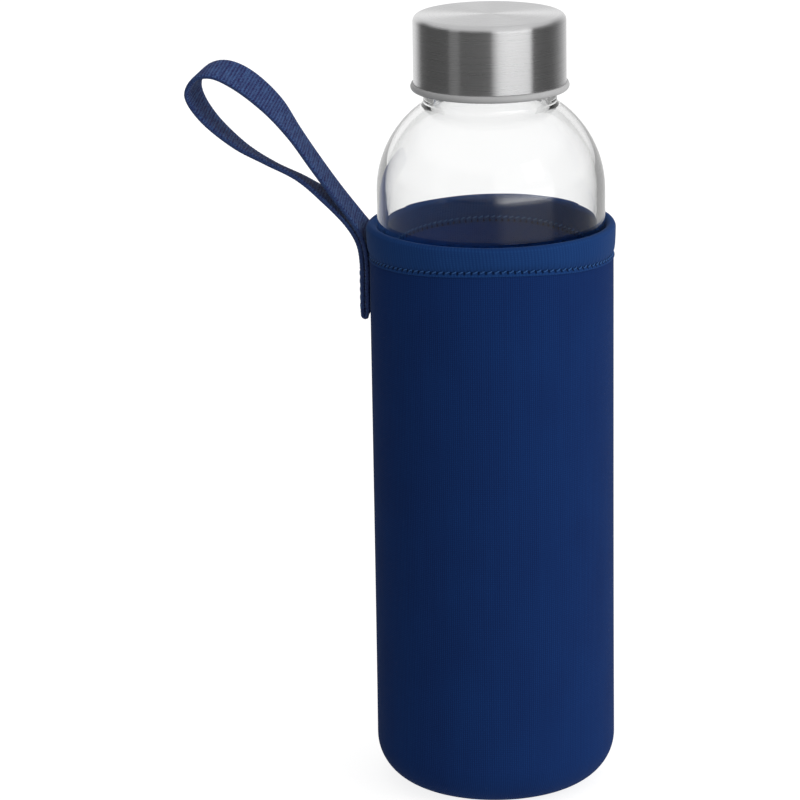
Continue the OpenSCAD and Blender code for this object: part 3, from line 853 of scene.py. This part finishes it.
def make_seal():
    """A disc with rounded edges, thinner inside the bore."""
    low, high, radius = seal_low[2], seal_high[2], seal_high[0]
    edge, hollow = 0.4, 0.7
    path = [(0, low + hollow), (BORE_R - 2, low + hollow)]
    path += arc((BORE_R - 1.9, low + edge), edge, 180, 270, 4)
    path += arc((radius - edge, low + edge), edge, 270, 360, 4)
    path += arc((radius - edge, high - edge), edge, 0, 90, 4) + [(0, high)]
    seal = revolve("seal_disc", path, SEAL_SEGMENTS, closed=False)
    place(seal, SILICONE, "seal", "seal_silicone", "cap_seal")


# ---------------------------------------------------------------- camera, lights and floor

def direction_to(turn, elevation):
    """Direction from the bottle, at an angle to the right of the camera and an angle above level."""
    a = FRONT + turn
    return Vector((math.cos(a) * math.cos(elevation), math.sin(a) * math.cos(elevation), math.sin(elevation)))


def make_camera():
    """A long lens from the front, a little above the bottle and rolled by under a degree."""
    elevation, roll = math.radians(15.61), math.radians(0.904)
    distance, target_side, target_z = 1.138, -0.026, 0.1109
    right = Vector((-math.sin(FRONT), math.cos(FRONT), 0))
    back = direction_to(0, elevation)
    up = back.cross(right)
    x_axis = right * math.cos(roll) - up * math.sin(roll)
    y_axis = right * math.sin(roll) + up * math.cos(roll)
    data = bpy.data.cameras.new("camera")
    data.sensor_width = 36
    data.lens = 182.9
    camera = bpy.data.objects.new("camera", data)
    turned = Matrix((x_axis, y_axis, back)).transposed().to_4x4()
    target = right * target_side + Vector((0, 0, target_z))
    camera.matrix_world = Matrix.Translation(target + back * distance) @ turned
    bpy.context.scene.collection.objects.link(camera)
    bpy.context.scene.camera = camera


def make_key_light():
    """A square soft box to the right of the camera and above it, that faces the bottle."""
    turn, elevation, distance = math.radians(50), math.radians(30), 1.5
    data = bpy.data.lights.new("key", "AREA")
    data.size = 0.5
    data.energy = 2.5
    light = bpy.data.objects.new("key", data)
    spot = direction_to(turn, elevation) * distance
    light.location = spot + Vector((0, 0, 0.1))
    light.rotation_euler = spot.to_track_quat("Z", "Y").to_euler()
    light.visible_glossy = False
    light.visible_camera = False
    bpy.context.scene.collection.objects.link(light)


# The studio round the bottle, as reflections see it: degrees to the right of the camera, brightness
BANDS = [
    (-180, 1.0), (-148, 0.9), (-126, 0.12), (-66, 0.06), (-63, 0.4), (-49, 0.4), (-46, 0.09), (-15, 0.12),
    (0, 0.2), (14, 3.6), (30, 4.0), (60, 3.6), (67, 0.2), (90, 0.14), (120, 0.22), (150, 0.7), (180, 1.0),
]
BRIGHTEST = 4.0
DIM, DARKEST = 0.13, 0.085  # share of that brightness left below the horizon, and the least there
CEILING = (0.9, 0.9, 0.9)
PALE, PALE_SHARE = (0.95, 0.95, 0.95), 0.85  # what rays that have been inside the glass see
LIGHT_TURN = math.radians(75)  # the side that lights the cloth
LIGHT_LEVEL, LIGHT_LEAST = 0.66, 0.36
FLOOR_GLOW, FLOOR_DARK = 0.82, 0.02


def make_world():
    """White surroundings. Cloth is lit softly from the right. Reflections see a low bright panel and dark
    screens round the horizon, darkness below it in front, and a pale ceiling. Rays that have been inside
    the glass see paler surroundings.
    """
    world = bpy.data.worlds.new("studio")
    n = Nodes(world=world)
    direction = n.new("TexCoord").outputs["Generated"]
    to_camera = n.new("VectorRotate", rotation_type="Z_AXIS")
    to_camera.inputs["Angle"].default_value = -FRONT
    n.link(direction, to_camera.inputs["Vector"])
    split = n.new("SeparateXYZ")
    n.link(to_camera.outputs[0], split.inputs[0])
    front, side, height = split.outputs
    ramp = n.new("ValToRGB")
    turn = n.math("ARCTAN2", side, front)
    n.link(n.math("MULTIPLY_ADD", turn, 0.5 / math.pi, 0.5), ramp.inputs[0])
    elements = ramp.color_ramp.elements
    while len(elements) < len(BANDS):
        elements.new(0.5)
    for element, (degrees, brightness) in zip(elements, BANDS):
        element.position = (degrees + 180) / 360
        element.color = (*[brightness / BRIGHTEST] * 3, 1)
    bands = n.math("MULTIPLY", ramp.outputs[0], BRIGHTEST)
    bands = n.mix(n.step(height, 0.03, 0.2), bands, n.math("MINIMUM", bands, 1.0))
    lit = n.math("MAXIMUM", n.step(height, -0.12, 0.0), n.step(front, -0.25, -0.5))
    low = n.mix(lit, n.math("MAXIMUM", n.math("MULTIPLY", bands, DIM), DARKEST), bands)
    studio = n.mix(n.step(height, 0.4, 0.62), low, CEILING)
    toward = n.new("VectorMath", operation="DOT_PRODUCT")
    light_angle = FRONT + LIGHT_TURN
    toward.inputs[1].default_value = (math.cos(light_angle), math.sin(light_angle), 0.25)
    n.link(direction, toward.inputs[0])
    soft = n.math("MULTIPLY_ADD", toward.outputs["Value"], LIGHT_LEVEL, LIGHT_LEVEL)
    soft = n.math("MAXIMUM", soft, LIGHT_LEAST)
    rays = n.new("LightPath").outputs
    mirrored = n.math("MINIMUM", rays["Glossy Depth"], 1.0)
    refracted = n.math("MINIMUM", rays["Transmission Depth"], 1.0)
    inside_glass = n.math("MULTIPLY", refracted, n.step(height, -0.05, 0.1))
    studio = n.mix(n.math("MULTIPLY", inside_glass, PALE_SHARE), studio, PALE)
    seen = n.mix(mirrored, (1, 1, 1), studio)
    final = n.mix(rays["Is Diffuse Ray"], seen, soft)
    n.link(final, n.tree.nodes["Background"].inputs["Color"])
    world.cycles.sampling_method = "NONE"
    bpy.context.scene.world = world


def make_floor():
    """A plain white floor that reflections pass through. Those that leave through glass find it dark."""
    bpy.ops.mesh.primitive_plane_add(size=8)
    floor = bpy.context.object
    floor.name = "floor"
    n = Nodes("floor_white")
    straight = n.math("SUBTRACT", 1.0, n.math("MINIMUM", n.new("LightPath").outputs["Glossy Depth"], 1.0))
    glow = n.math("MULTIPLY_ADD", straight, FLOOR_GLOW, FLOOR_DARK)
    n.set(Base_Color=(0.3, 0.3, 0.3, 1), Roughness=0.9, Emission_Color=(1, 1, 1, 1), Emission_Strength=glow)
    floor.data.materials.append(n.material)
    floor.visible_glossy = False
    floor.visible_diffuse = False


make_camera()
make_world()
make_floor()
make_key_light()
bpy.context.scene.view_settings.view_transform = "Standard"

make_sleeve()
make_base()
make_hem_stitches()
make_side_stitches()
make_base_stitches()
make_strap()
make_strap_stitches()
make_bottle()
make_cap()
make_insert()
make_seal()
